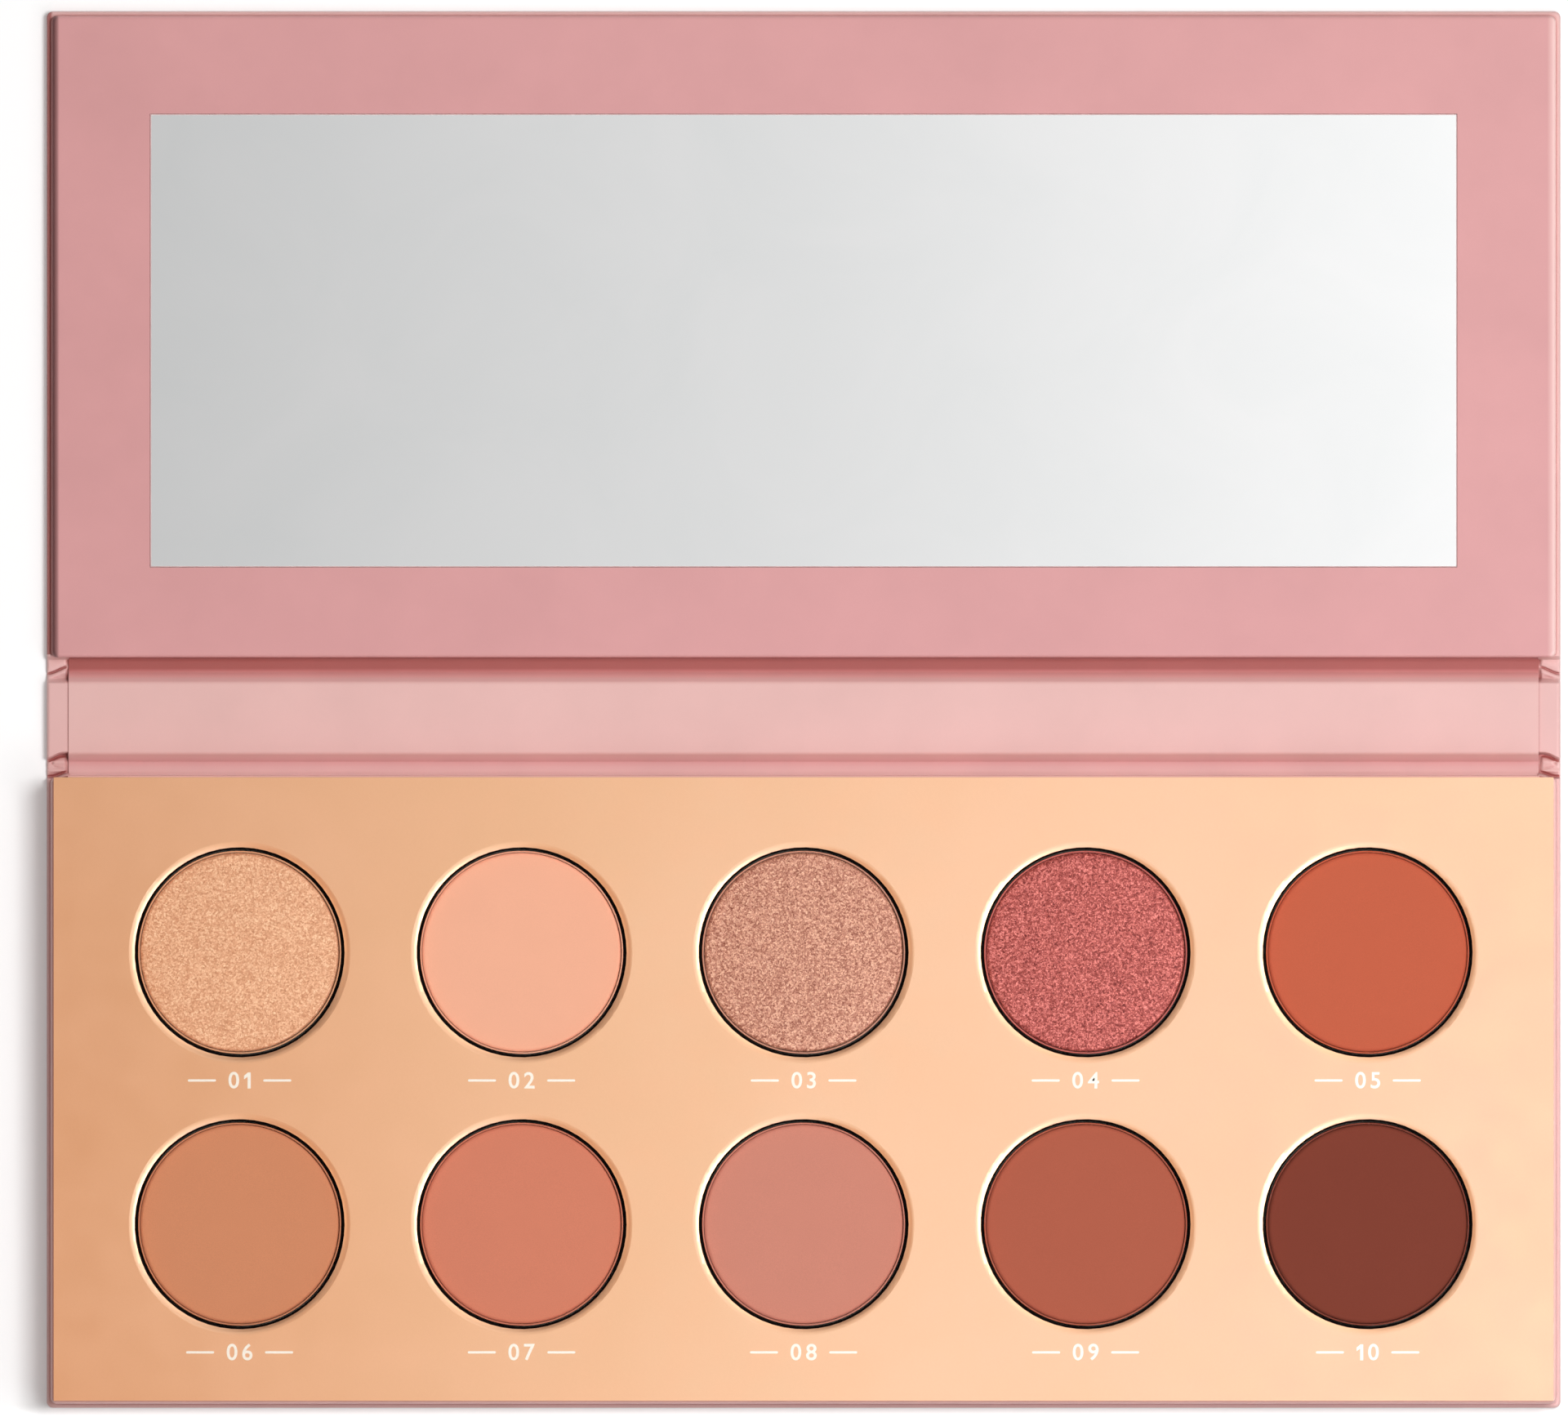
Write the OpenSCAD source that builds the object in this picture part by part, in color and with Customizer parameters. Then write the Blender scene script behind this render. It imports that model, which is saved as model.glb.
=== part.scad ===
// Book-style eyeshadow palette, lying open and flat on a table.
// A printed paper wrap joins three boards: the base cover, the spine and the lid cover. The base
// cover carries a tray with ten pressed-powder pans under a foil card, the lid cover carries a
// mirror in a paper-covered frame, and the paper creases between the boards are the two hinges.
// X is the width, +Y runs from the tray's front edge to the lid's front edge, +Z is up.
// The origin is on the table, midway between the two fold lines.

/* [Palette] */
// Width of both covers, left to right
palette_w = 194; // [190:1:240]
// Depth of the tray side, front edge to lined back wall
tray_d = 81; // [80:0.5:110]
// Height of the tray side, table to the top of the foil card
tray_h = 9.6; // [8.6:0.1:14]
// Radius of the covers' corners in plan
corner_r = 0.8; // [0.6:0.1:2.5]

/* [Paper and board] */
// Thickness of the printed wrap and lining papers
paper_t = 0.2; // [0.1:0.05:0.25]
// Thickness of the cover and spine boards
board_t = 1.4; // [1.2:0.1:1.6]
// Outer radius of the paper where it turns over a board's edge
turn_r = 0.5; // [0.3:0.05:0.6]
// Width of the paper that is turned in over a board's edge
turn_in = 11; // [8:0.5:12]
// How far the covers stand out past the tray and the mirror frame
cover_ledge = 0.6; // [0.2:0.1:1.5]

/* [Folds] */
// Gap between the tray's back wall and the spine when the spine stands up
spine_clearance = 0.3; // [0.2:0.05:1]
// Base fold line to the near edge of the spine board
spine_lead = 0.9; // [0.7:0.1:1.5]
// Lid fold line to the lid's back edge
lid_lead = 0.4; // [0.4:0.1:1]
// Gap between the mirror frame and the foil card when shut
closing_gap = 0.15; // [0.1:0.05:0.5]
// Gap between the end of the spine board and the mirror frame when shut
spine_top_clearance = 0.25; // [0.2:0.05:0.6]
// How far the spine lining stops short of the covers' ends
liner_inset = 2.8; // [1:0.1:5]
// Flat run of the lining where it climbs from a groove onto the spine board
liner_slope = 1; // [0.6:0.1:1.2]
// Radius of the lining's bends
liner_bend_r = 0.35; // [0.25:0.05:0.5]
// Width of a crease lining that lies flat on the spine
liner_tab = 0.6; // [0.3:0.1:2]

/* [Pans] */
// Columns of pans
pan_columns = 5; // [3:1:5]
// Outer diameter of a pan
pan_dia = 26; // [20:0.5:31]
// Height of a pan
pan_h = 3.6; // [2.5:0.1:4]
// Sheet thickness of a pan
pan_wall = 0.2; // [0.2:0.05:0.4]
// Outer radius of a pan's bottom edge
pan_corner_r = 0.8; // [0.5:0.1:1.5]
// Pitch of the columns
pan_pitch_x = 36.1; // [30:0.1:38]
// Pitch of the two rows
pan_pitch_y = 34.8; // [30:0.2:37]
// Front edge of the covers to the centre line of the front row
front_row_inset = 23.6; // [21:0.2:26]
// Depth of a pan's rim below the top of the foil card
rim_depth = 0.8; // [0.4:0.1:1]
// Depth of the powder's crown below the pan's rim
powder_depth = 0.2; // [0.1:0.05:0.6]
// Radius of the powder cake's pressed edge
powder_edge_r = 0.5; // [0.3:0.1:1]
// Height of the powder cake's crown over its edge
powder_crown = 0.15; // [0.05:0.05:0.4]
// Clearance between a pan and its well
well_clearance = 0.2; // [0.1:0.05:0.4]
// Diameter of the glue dot under a pan
glue_dot_dia = 16; // [8:1:18]
// Thickness of a glue dot
glue_t = 0.2; // [0.1:0.05:0.4]

/* [Foil card] */
// Thickness of the foil card
card_t = 1; // [0.8:0.1:1.5]
// Width of the paper rim that shows round the foil card
card_margin = 0.4; // [0.2:0.1:1.5]
// Gap between a pan and the edge of its hole in the card
hole_gap = 0.45; // [0.3:0.05:0.8]
// Width of the rolled lip of a hole in the card
lip_w = 0.75; // [0.4:0.05:0.75]
// Depth of that lip at the edge of its hole
lip_d = 0.2; // [0.1:0.05:0.35]

/* [Mirror] */
// Width of the mirror
mirror_w = 167.4; // [120:0.2:171]
// Depth of the mirror
mirror_d = 58; // [40:0.5:64]
// Thickness of the mirror
mirror_t = 1; // [0.8:0.1:2]
// Depth of the mirror below the face of its frame
mirror_recess = 0.2; // [0.1:0.05:0.5]
// Front edge of the lid to the mirror's near edge
mirror_border = 13.2; // [12.5:0.1:17]
// Clearance round the mirror in its frame
mirror_fit = 0.05; // [0.05:0.05:0.3]
// Ground bevel on the mirror's front edges
mirror_bevel = 0.1; // [0.05:0.05:0.3]
// Thickness of the adhesive tape behind the mirror
tape_t = 0.2; // [0.2:0.05:0.5]
// Width of a strip of tape
tape_w = 12; // [5:1:20]
// Mirror's edges to the strips of tape
tape_inset = 8; // [1:1:8]

/* [Tray and magnets] */
// Width of the tray's walls
wall_w = 6; // [5.6:0.1:6.5]
// Length of a bar magnet
magnet_l = 20; // [8:1:30]
// Width of a bar magnet
magnet_w = 4; // [3:0.5:4.5]
// Thickness of a bar magnet in the tray
tray_magnet_t = 2; // [1:0.5:3]
// Front edge of a cover to the middle of its magnets
magnet_inset = 4; // [3.8:0.1:4.2]
// Middle of the palette to the middle of a magnet
magnet_x = 45; // [20:1:70]
// Clearance round a magnet in its pocket
magnet_fit = 0.15; // [0.1:0.05:0.3]

/* [Hidden] */
$fn = 96;

pan_rows = 2;
pan_count = pan_columns * pan_rows;
pan_ids = [for (i = [1:pan_count]) i];

PINK = [0.90, 0.71, 0.69];
ROSE = [0.84, 0.60, 0.60];
PINK_LINING = [0.91, 0.73, 0.71];
GREYBOARD = [0.62, 0.60, 0.56];
FOIL = [0.93, 0.72, 0.50];
FOAM = [0.07, 0.07, 0.07];
TINPLATE = [0.80, 0.80, 0.82];
MAGNET = [0.45, 0.45, 0.47];
SILVERING = [0.88, 0.89, 0.90];
ADHESIVE = [0.92, 0.92, 0.88];
// Back row first, left to right.
POWDERS = [
    [0.91, 0.68, 0.52], [0.96, 0.70, 0.57], [0.84, 0.63, 0.54], [0.80, 0.44, 0.40], [0.80, 0.40, 0.28],
    [0.82, 0.53, 0.39], [0.84, 0.51, 0.40], [0.83, 0.54, 0.46], [0.72, 0.39, 0.30], [0.53, 0.26, 0.20]];

// Levels, from the table up.
board_z = paper_t;                                  // underside of the cover boards
flap_z = board_z + board_t;                         // underside of the turned-in paper
cover_h = flap_z + paper_t;                         // top of the covers
card_z = tray_h - card_t;                           // underside of the foil card
pan_z = tray_h - rim_depth - pan_h;                 // underside of the pans
riser_top = pan_z - glue_t;                         // top of the packing board under the deck
lid_h = flap_z + tape_t + mirror_t + mirror_recess; // thickness of the lid side
groove_z = 2 * paper_t;                             // floor of a groove, on wrap and turned-in paper

// Folds. A crease turns about the middle of the outer paper.
axis_z = paper_t / 2;
closed_h = tray_h + closing_gap + lid_h;            // thickness of the shut palette
fold_span = closed_h - 2 * axis_z;                  // distance between the fold lines
base_fold_y = -fold_span / 2;
lid_fold_y = fold_span / 2;
spine_stack = cover_h + paper_t;                    // wrap, board, turned-in paper and lining
tray_lead = spine_stack - axis_z + spine_clearance; // tray's back wall to the base fold line

tray_back_y = base_fold_y - tray_lead;
tray_front_y = tray_back_y - tray_d;
lid_back_y = lid_fold_y + lid_lead;
lid_d = tray_d + tray_lead - lid_lead;              // so that the front edges meet when shut
lid_front_y = lid_back_y + lid_d;
spine_y0 = base_fold_y + spine_lead;
spine_y1 = base_fold_y + tray_h + closing_gap - spine_top_clearance - axis_z;

// The tray block and the mirror frame, which stand on the covers inside a narrow ledge.
block_w = palette_w - 2 * cover_ledge;
tray_block_y = tray_back_y - paper_t;               // its back wall, under the lining
tray_block_d = tray_d - cover_ledge - paper_t;
frame_d = lid_d - cover_ledge;
cavity_w = block_w - 2 * paper_t - 2 * wall_w;
cavity_d = tray_block_d - 2 * paper_t - 2 * wall_w;
tray_mid_y = tray_block_y - tray_block_d / 2;
frame_mid_y = lid_back_y + frame_d / 2;

mirror_y = lid_front_y - mirror_border - mirror_d / 2;
window_w = mirror_w + 2 * mirror_fit;
window_d = mirror_d + 2 * mirror_fit;
window_shift = mirror_y - frame_mid_y;

card_w = block_w - 2 * card_margin;
card_d = tray_block_d - card_margin;
hole_r = pan_dia / 2 + hole_gap;
eps = 0.01;                                         // overrun of a cutter past a face
crown_steps = 8;                                    // steps of the powders' shallow crowns

// ---------- shared shapes ----------

// Centre of pan i, counted from 1, back row first and left to right.
function pan_xy(i) =
    let (column = (i - 1) % pan_columns, row = floor((i - 1) / pan_columns))
    [(column - (pan_columns - 1) / 2) * pan_pitch_x,
     tray_front_y + front_row_inset + (pan_rows - 1 - row) * pan_pitch_y];

// Turning direction from a to b, in degrees from the first axis.
function heading(a, b) = atan2(b[1] - a[1], b[0] - a[0]);

// Points of an arc of radius r that rounds the corner b between a and c.
function corner_arc(a, b, c, r, steps = 4) =
    let (h0 = heading(a, b),
         turn = (heading(b, c) - h0 + 540) % 360 - 180,
         side = sign(turn),
         setback = r * tan(abs(turn) / 2),
         start = b - setback * [cos(h0), sin(h0)],
         centre = start + side * r * [-sin(h0), cos(h0)])
    [for (k = [0:steps]) let (h = h0 + turn * k / steps) centre + side * r * [sin(h), -cos(h)]];

// A path with every inner corner rounded.
function rounded_path(points, r) =
    let (n = len(points))
    concat([points[0]],
           [for (i = [1:n - 2]) each corner_arc(points[i - 1], points[i], points[i + 1], r)],
           [points[n - 1]]);

// Unit normal of a path at point i, to the left of its direction, lengthened at a bend so that
// the strip keeps its thickness.
function path_normal(path, i) =
    let (n = len(path),
         h0 = heading(path[max(i - 1, 0)], path[max(i, 1)]),
         h1 = heading(path[min(i, n - 2)], path[min(i + 1, n - 1)]),
         turn = (h1 - h0 + 540) % 360 - 180,
         h = h0 + turn / 2)
    [-sin(h), cos(h)] / cos(turn / 2);

// A strip of thickness t on the left of a path, as a closed outline.
function strip_outline(path, t) =
    let (n = len(path))
    concat(path, [for (i = [n - 1:-1:0]) path[i] + t * path_normal(path, i)]);

// Extrudes a Y-Z outline to length l along X, centred.
module along_x(l) {
    translate([-l / 2, 0, 0])
        rotate([90, 0, 90])
            linear_extrude(l) children();
}

// A quarter disc in the positive quadrant.
module quarter_disc(r) {
    intersection() {
        circle(r);
        square(r);
    }
}

// A rectangle with its outer upper corner rounded, and the lower one too if both is true.
module edge_outline(w, h, r, both) {
    low = both ? r : 0;
    square([w - r, h]);
    translate([0, low]) square([w, h - r - low]);
    translate([w - r, h - r]) quarter_disc(r);
    if (both) translate([w - r, r]) mirror([0, 1]) quarter_disc(r);
}

// Section of a board's edge inside the paper that covers it. A cutter overruns the paper's ends.
module board_section(w, h, both, overrun = 0) {
    low = both ? paper_t : -overrun;
    translate([-overrun, low])
        edge_outline(w - paper_t + overrun, h - paper_t - low, turn_r - paper_t, both);
}

// Section of the paper over the edge of a board.
module paper_section(w, h, both) {
    difference() {
        edge_outline(w, h, turn_r, both);
        board_section(w, h, both, eps);
    }
}

// Sweeps a section round the three free edges of a cover that starts at y = 0 and ends at y = d.
module sweep_cover(w, d) {
    for (side = [0, 1]) mirror([side, 0, 0]) {
        translate([w / 2 - corner_r, d - corner_r, 0]) {
            rotate([90, 0, 0]) linear_extrude(d - corner_r) children();
            rotate_extrude(angle = 90) children();
        }
    }
    translate([0, d - corner_r, 0]) along_x(w - 2 * corner_r) children();
}

// Sweeps a section round all four edges of a block centred on the origin.
module sweep_block(w, d) {
    for (back = [0, 1]) mirror([0, back, 0]) {
        translate([0, d / 2 - corner_r, 0]) along_x(w - 2 * corner_r) children();
        for (side = [0, 1]) mirror([side, 0, 0])
            translate([w / 2 - corner_r, d / 2 - corner_r, 0])
                rotate_extrude(angle = 90) children();
    }
    for (side = [0, 1]) mirror([side, 0, 0])
        translate([w / 2 - corner_r, d / 2 - corner_r, 0])
            rotate([90, 0, 0]) linear_extrude(d - 2 * corner_r) children();
}

// A flat block centred in x and y, standing on z = 0.
module slab(w, d, h) {
    translate([-w / 2, -d / 2, 0]) cube([w, d, h]);
}

// ---------- covers ----------

// The wrap of a cover: outer skin, turned edges and turned-in flaps, open at the hinge side.
module cover_wrap(w, d) {
    inner_w = w - 2 * corner_r;
    inner_d = d - corner_r;
    color(PINK) {
        sweep_cover(w, d) paper_section(corner_r, cover_h, true);
        translate([-inner_w / 2, 0, 0]) cube([inner_w, inner_d, paper_t]);
        translate([0, 0, flap_z]) difference() {
            translate([-inner_w / 2, 0, 0]) cube([inner_w, inner_d, paper_t]);
            translate([turn_in - w / 2, -eps, -eps])
                cube([w - 2 * turn_in, d - turn_in + eps, paper_t + 2 * eps]);
        }
    }
}

// The board of a cover, inside its wrap.
module cover_board(w, d) {
    inner_w = w - 2 * corner_r;
    color(GREYBOARD) {
        sweep_cover(w, d) board_section(corner_r, cover_h, true);
        translate([-inner_w / 2, 0, board_z]) cube([inner_w, d - corner_r, board_t]);
    }
}

// ---------- tray ----------

module base_wrap() {
    translate([0, tray_block_y - paper_t, 0]) mirror([0, 1, 0])
        cover_wrap(palette_w, tray_d - 2 * paper_t);
}

module base_board() {
    translate([0, tray_block_y - paper_t, 0]) mirror([0, 1, 0])
        cover_board(palette_w, tray_d - 2 * paper_t);
}

// Two magnets, one each side of the middle, at the front edge that lies at y.
module magnet_pair(y, z, t, fit) {
    for (side = [-1, 1])
        translate([side * magnet_x, y, z])
            slab(magnet_l + 2 * fit, magnet_w + 2 * fit, t);
}

tray_magnet_y = tray_front_y + magnet_inset;
lid_magnet_y = lid_front_y - magnet_inset;
tray_magnet_z = card_z - paper_t - tray_magnet_t;

// Board walls of the tray, with pockets for the magnets in the top of the front wall.
module tray_frame() {
    h = card_z - cover_h;
    color(GREYBOARD) difference() {
        translate([0, tray_mid_y, cover_h]) difference() {
            union() {
                sweep_block(block_w, tray_block_d) board_section(corner_r, h, false);
                slab(block_w - 2 * corner_r, tray_block_d - 2 * corner_r, h - paper_t);
            }
            translate([0, 0, -eps]) slab(cavity_w, cavity_d, h);
        }
        magnet_pair(tray_magnet_y, tray_magnet_z - magnet_fit, card_z - tray_magnet_z, magnet_fit);
    }
}

// Paper over the outside and the top of the tray's walls.
module tray_paper() {
    h = card_z - cover_h;
    color(PINK) translate([0, tray_mid_y, cover_h]) {
        sweep_block(block_w, tray_block_d) paper_section(corner_r, h, false);
        translate([0, 0, h - paper_t]) difference() {
            slab(block_w - 2 * corner_r, tray_block_d - 2 * corner_r, paper_t);
            translate([0, 0, -eps]) slab(cavity_w, cavity_d, paper_t + 2 * eps);
        }
    }
}

module tray_magnets() {
    color(MAGNET) magnet_pair(tray_magnet_y, tray_magnet_z, tray_magnet_t, 0);
}

// Board packing under the pans.
module pan_riser() {
    color(GREYBOARD) translate([0, tray_mid_y, cover_h])
        slab(cavity_w, cavity_d, riser_top - cover_h);
}

// Foam deck with a well through it for each pan.
module pan_deck() {
    color(FOAM) difference() {
        translate([0, tray_mid_y, riser_top]) slab(cavity_w, cavity_d, card_z - riser_top);
        for (i = pan_ids)
            translate([each pan_xy(i), riser_top - eps])
                cylinder(r = pan_dia / 2 + well_clearance, h = card_z - riser_top + 2 * eps);
    }
}

module pan_glue_dots() {
    color(ADHESIVE)
        for (i = pan_ids)
            translate([each pan_xy(i), riser_top]) cylinder(d = glue_dot_dia, h = glue_t);
}

// Section of a hole's cutter, with the lip's round taken off the card's edge.
module hole_section() {
    lip_r = (lip_w * lip_w + lip_d * lip_d) / (2 * lip_d);
    square([hole_r, card_t + eps]);
    translate([hole_r, card_t - lip_w]) difference() {
        square([lip_w, lip_w + eps]);
        translate([lip_w, lip_w - lip_r]) circle(lip_r);
    }
}

// Foil-faced card with a lipped hole over each pan.
module foil_card() {
    color(FOIL) difference() {
        translate([0, tray_block_y - card_d / 2, card_z]) slab(card_w, card_d, card_t);
        for (i = pan_ids)
            translate([each pan_xy(i), card_z]) {
                translate([0, 0, -eps]) cylinder(r = hole_r, h = card_t);
                rotate_extrude() hole_section();
            }
    }
}

// Half section of a cup with a rounded bottom edge, as a filled outline.
module cup_outline(r, h, edge_r) {
    square([r - edge_r, h]);
    translate([0, edge_r]) square([r, h - edge_r]);
    translate([r - edge_r, edge_r]) circle(edge_r);
}

// One drawn metal pan, with a rounded rim.
module pan(i) {
    pan_r = pan_dia / 2;
    rim_r = pan_wall / 2;
    color(TINPLATE)
        translate([each pan_xy(i), pan_z])
            rotate_extrude() {
                difference() {
                    cup_outline(pan_r, pan_h - rim_r, pan_corner_r);
                    translate([-eps, pan_wall]) square([pan_r - pan_corner_r + eps, pan_h]);
                    translate([0, pan_wall])
                        cup_outline(pan_r - pan_wall, pan_h, pan_corner_r - pan_wall);
                }
                translate([pan_r - rim_r, pan_h - rim_r]) circle(rim_r);
            }
}

// Half section of a powder cake: a pressed edge round a low crown.
module cake_outline(r, h) {
    flat_r = r - powder_edge_r;
    shoulder_z = h - powder_crown - powder_edge_r;
    crown = [for (k = [0:crown_steps]) let (t = k / crown_steps)
                [t * flat_r, h - powder_crown * t * t]];
    square([r, shoulder_z]);
    translate([flat_r, shoulder_z]) quarter_disc(powder_edge_r);
    polygon(concat([[0, 0]], crown, [[flat_r, 0]]));
}

// The cake of powder in a pan.
module powder(i) {
    cake_r = pan_dia / 2 - pan_wall;
    cake_h = pan_h - pan_wall - powder_depth;
    color(POWDERS[i - 1])
        translate([each pan_xy(i), pan_z + pan_wall])
            rotate_extrude() intersection() {
                cup_outline(cake_r, cake_h, pan_corner_r - pan_wall);
                cake_outline(cake_r, cake_h);
            }
}

// ---------- spine and creases ----------

// Outer wrap across a groove from y0 to y1, with its ends folded in and up both boards' edges.
module hinge_wrap(y0, y1) {
    rise = [[y0, flap_z], [y0, board_z], [y1, board_z], [y1, flap_z]];
    color(PINK) {
        translate([-palette_w / 2, y0, 0]) cube([palette_w, y1 - y0, paper_t]);
        for (side = [-1, 1])
            translate([side * (palette_w - turn_in) / 2, 0, 0])
                along_x(turn_in) polygon(strip_outline(rise, paper_t));
    }
}

module base_hinge_wrap() {
    hinge_wrap(tray_block_y - paper_t, spine_y0);
}

module lid_hinge_wrap() {
    hinge_wrap(spine_y1, lid_back_y + 2 * paper_t);
}

liner_w = palette_w - 2 * liner_inset;

// Lining from the top of the tray's back wall, across the base groove, onto the spine.
module base_hinge_liner() {
    slope_top = spine_y0 - paper_t;
    path = [[tray_block_y, card_z], [tray_block_y, groove_z],
            [slope_top - liner_slope, groove_z], [slope_top, cover_h],
            [spine_y0 + liner_tab, cover_h]];
    color(PINK_LINING) along_x(liner_w)
        polygon(strip_outline(rounded_path(path, liner_bend_r), paper_t));
}

// Lining from the spine, across the lid groove, up the edge of the lid board.
module lid_hinge_liner() {
    slope_top = spine_y1 + paper_t;
    path = [[spine_y1 - liner_tab, cover_h], [slope_top, cover_h],
            [slope_top + liner_slope, groove_z], [lid_back_y + paper_t, groove_z],
            [lid_back_y + paper_t, cover_h]];
    color(PINK_LINING) along_x(liner_w)
        polygon(strip_outline(rounded_path(path, liner_bend_r), paper_t));
}

// The spine's wrap: outer skin and the flaps turned in round both ends of the board.
module spine_wrap() {
    color(PINK) for (side = [0, 1]) mirror([side, 0, 0]) {
        translate([palette_w / 2 - corner_r, spine_y1, 0])
            rotate([90, 0, 0])
                linear_extrude(spine_y1 - spine_y0) paper_section(corner_r, cover_h, true);
        translate([0, spine_y0, 0])
            cube([palette_w / 2 - corner_r, spine_y1 - spine_y0, paper_t]);
        translate([palette_w / 2 - turn_in, spine_y0, flap_z])
            cube([turn_in - corner_r, spine_y1 - spine_y0, paper_t]);
    }
}

module spine_board() {
    color(GREYBOARD) for (side = [0, 1]) mirror([side, 0, 0]) {
        translate([palette_w / 2 - corner_r, spine_y1, 0])
            rotate([90, 0, 0])
                linear_extrude(spine_y1 - spine_y0) board_section(corner_r, cover_h, true);
        translate([0, spine_y0, board_z])
            cube([palette_w / 2 - corner_r, spine_y1 - spine_y0, board_t]);
    }
}

module spine_liner() {
    color(PINK_LINING)
        translate([-liner_w / 2, spine_y0 + liner_tab, cover_h])
            cube([liner_w, spine_y1 - spine_y0 - 2 * liner_tab, paper_t]);
}

// ---------- lid ----------

module lid_wrap() {
    translate([0, lid_back_y + 2 * paper_t, 0]) cover_wrap(palette_w, lid_d - 2 * paper_t);
}

module lid_board() {
    translate([0, lid_back_y + 2 * paper_t, 0]) cover_board(palette_w, lid_d - 2 * paper_t);
}

// Board frame round the mirror, with slots for the magnets.
module lid_frame() {
    h = lid_h - cover_h;
    color(GREYBOARD) difference() {
        translate([0, frame_mid_y, cover_h]) difference() {
            union() {
                sweep_block(block_w, frame_d) board_section(corner_r, h, false);
                slab(block_w - 2 * corner_r, frame_d - 2 * corner_r, h - paper_t);
            }
            translate([0, window_shift, -eps])
                slab(window_w + 2 * paper_t, window_d + 2 * paper_t, h);
        }
        magnet_pair(lid_magnet_y, cover_h - eps, h, magnet_fit);
    }
}

// Paper over the frame's outside, its face and the edges of its window.
module lid_frame_paper() {
    h = lid_h - cover_h;
    color(ROSE) translate([0, frame_mid_y, cover_h]) {
        sweep_block(block_w, frame_d) paper_section(corner_r, h, false);
        difference() {
            union() {
                translate([0, 0, h - paper_t])
                    slab(block_w - 2 * corner_r, frame_d - 2 * corner_r, paper_t);
                translate([0, window_shift, 0])
                    slab(window_w + 2 * paper_t, window_d + 2 * paper_t, h);
            }
            translate([0, window_shift, -eps]) slab(window_w, window_d, h + 2 * eps);
        }
    }
}

module lid_magnets() {
    color(MAGNET) magnet_pair(lid_magnet_y, cover_h, lid_h - cover_h - paper_t, 0);
}

// Section of the mirror: a thin bar of width w with its two upper corners bevelled.
module glass_section(w) {
    b = mirror_bevel;
    polygon([[-w / 2, 0], [w / 2, 0], [w / 2, mirror_t - b], [w / 2 - b, mirror_t],
             [b - w / 2, mirror_t], [-w / 2, mirror_t - b]]);
}

module mirror_glass() {
    color(SILVERING) translate([0, mirror_y, flap_z + tape_t]) intersection() {
        rotate([90, 0, 0])
            linear_extrude(mirror_d + 2 * eps, center = true) glass_section(mirror_w);
        along_x(mirror_w + 2 * eps) glass_section(mirror_d);
    }
}

// Strips of double-sided tape behind the mirror.
module mirror_tape() {
    color(ADHESIVE) for (side = [-1, 1])
        translate([0, mirror_y + side * (mirror_d / 2 - tape_inset - tape_w / 2), flap_z])
            slab(mirror_w - 2 * tape_inset, tape_w, tape_t);
}

// ---------- nodes ----------

base_wrap();
base_board();
tray_frame();
tray_paper();
tray_magnets();
pan_riser();
pan_deck();
pan_glue_dots();
foil_card();
for (i = pan_ids) {
    pan(i);
    powder(i);
}
base_hinge_wrap();
base_hinge_liner();
spine_wrap();
spine_board();
spine_liner();
lid_hinge_wrap();
lid_hinge_liner();
lid_wrap();
lid_board();
lid_frame();
lid_frame_paper();
lid_magnets();
mirror_glass();
mirror_tape();
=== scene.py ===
"""Looks of an open eyeshadow palette: papers, foil, pressed powders, creases and shade numbers."""

import math
from collections import namedtuple

import bmesh
import bpy
import numpy as np
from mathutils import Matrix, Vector, noise


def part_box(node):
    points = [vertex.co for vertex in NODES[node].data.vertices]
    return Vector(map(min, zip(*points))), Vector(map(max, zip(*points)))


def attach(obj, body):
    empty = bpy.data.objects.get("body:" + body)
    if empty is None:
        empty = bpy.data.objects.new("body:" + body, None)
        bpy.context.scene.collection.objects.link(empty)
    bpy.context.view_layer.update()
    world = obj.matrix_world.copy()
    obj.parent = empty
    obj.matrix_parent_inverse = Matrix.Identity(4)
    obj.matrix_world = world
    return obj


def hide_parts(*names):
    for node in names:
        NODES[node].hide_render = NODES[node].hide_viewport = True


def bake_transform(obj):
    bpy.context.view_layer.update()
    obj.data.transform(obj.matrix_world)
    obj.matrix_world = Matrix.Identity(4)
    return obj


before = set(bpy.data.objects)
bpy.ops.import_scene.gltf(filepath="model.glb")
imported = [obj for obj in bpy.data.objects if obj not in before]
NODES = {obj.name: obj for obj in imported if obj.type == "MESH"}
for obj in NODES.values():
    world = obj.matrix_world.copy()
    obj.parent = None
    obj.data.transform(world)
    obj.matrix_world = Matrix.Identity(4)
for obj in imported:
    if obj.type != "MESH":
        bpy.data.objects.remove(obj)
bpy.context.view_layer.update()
MM = 0.001
DECIMALS = 3
Corner = namedtuple("Corner", "x y z")


def in_mm(metres):
    """A length of the frame in millimetres, free of the frame's rounding."""
    return round(metres / MM, DECIMALS)


def box_mm(node):
    """Lowest and highest corner of a CAD node in millimetres."""
    return tuple(Corner(*(in_mm(v) for v in corner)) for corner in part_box(node))


def from_mm(*lengths):
    return tuple(length * MM for length in lengths)


# ---------- node trees ----------

def tone(r, g, b, a=1.0):
    """A display colour from 0 to 255 as the linear colour that a shader takes."""
    def linear(v):
        v /= 255
        return v / 12.92 if v <= 0.04045 else ((v + 0.055) / 1.055) ** 2.4
    return (linear(r), linear(g), linear(b), a)


def scaled(colour, k):
    return tuple(min(1.0, c * k) for c in colour[:3]) + (1.0,)


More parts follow.
